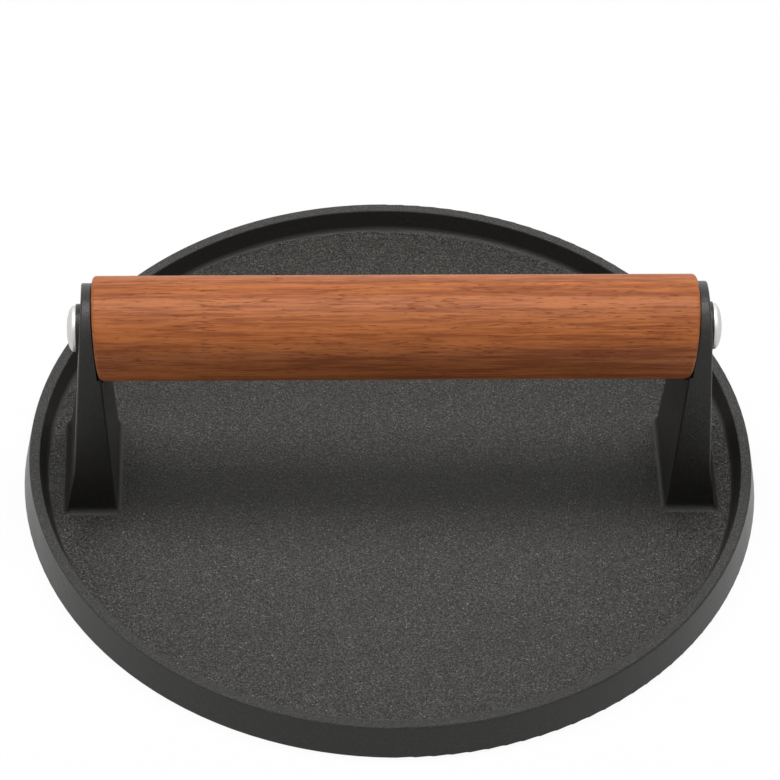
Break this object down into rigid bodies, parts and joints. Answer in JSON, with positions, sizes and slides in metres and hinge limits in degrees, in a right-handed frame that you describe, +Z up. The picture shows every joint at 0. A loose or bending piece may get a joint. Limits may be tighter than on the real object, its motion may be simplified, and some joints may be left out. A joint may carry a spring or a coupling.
{
  "type": "burger press",
  "caption": "Round cast-iron press with a raised rim and two upright ears that hold a wooden grip, for flattening burgers on a hot griddle.",
  "frame": {"origin": "middle of the flat pressing face, which the press stands on", "axes": "+Z up, out of the plate towards the grip; +X along the grip; +Y towards the back"},
  "size_m": [0.1798, 0.1798, 0.0637],
  "materials": {
    "seasoned_iron": "black seasoned sand-cast skin, satin",
    "oiled_wood": "turned red-brown hardwood, oiled, satin",
    "plated_steel": "bright zinc-plated",
    "rod_steel": "turned steel"
  },
  "bodies": {
    "root": {"press_casting": "seasoned_iron", "wood_grip": "oiled_wood", "tie_rod": "rod_steel", "screw_left": "plated_steel", "screw_right": "plated_steel"}
  },
  "joints": []
}
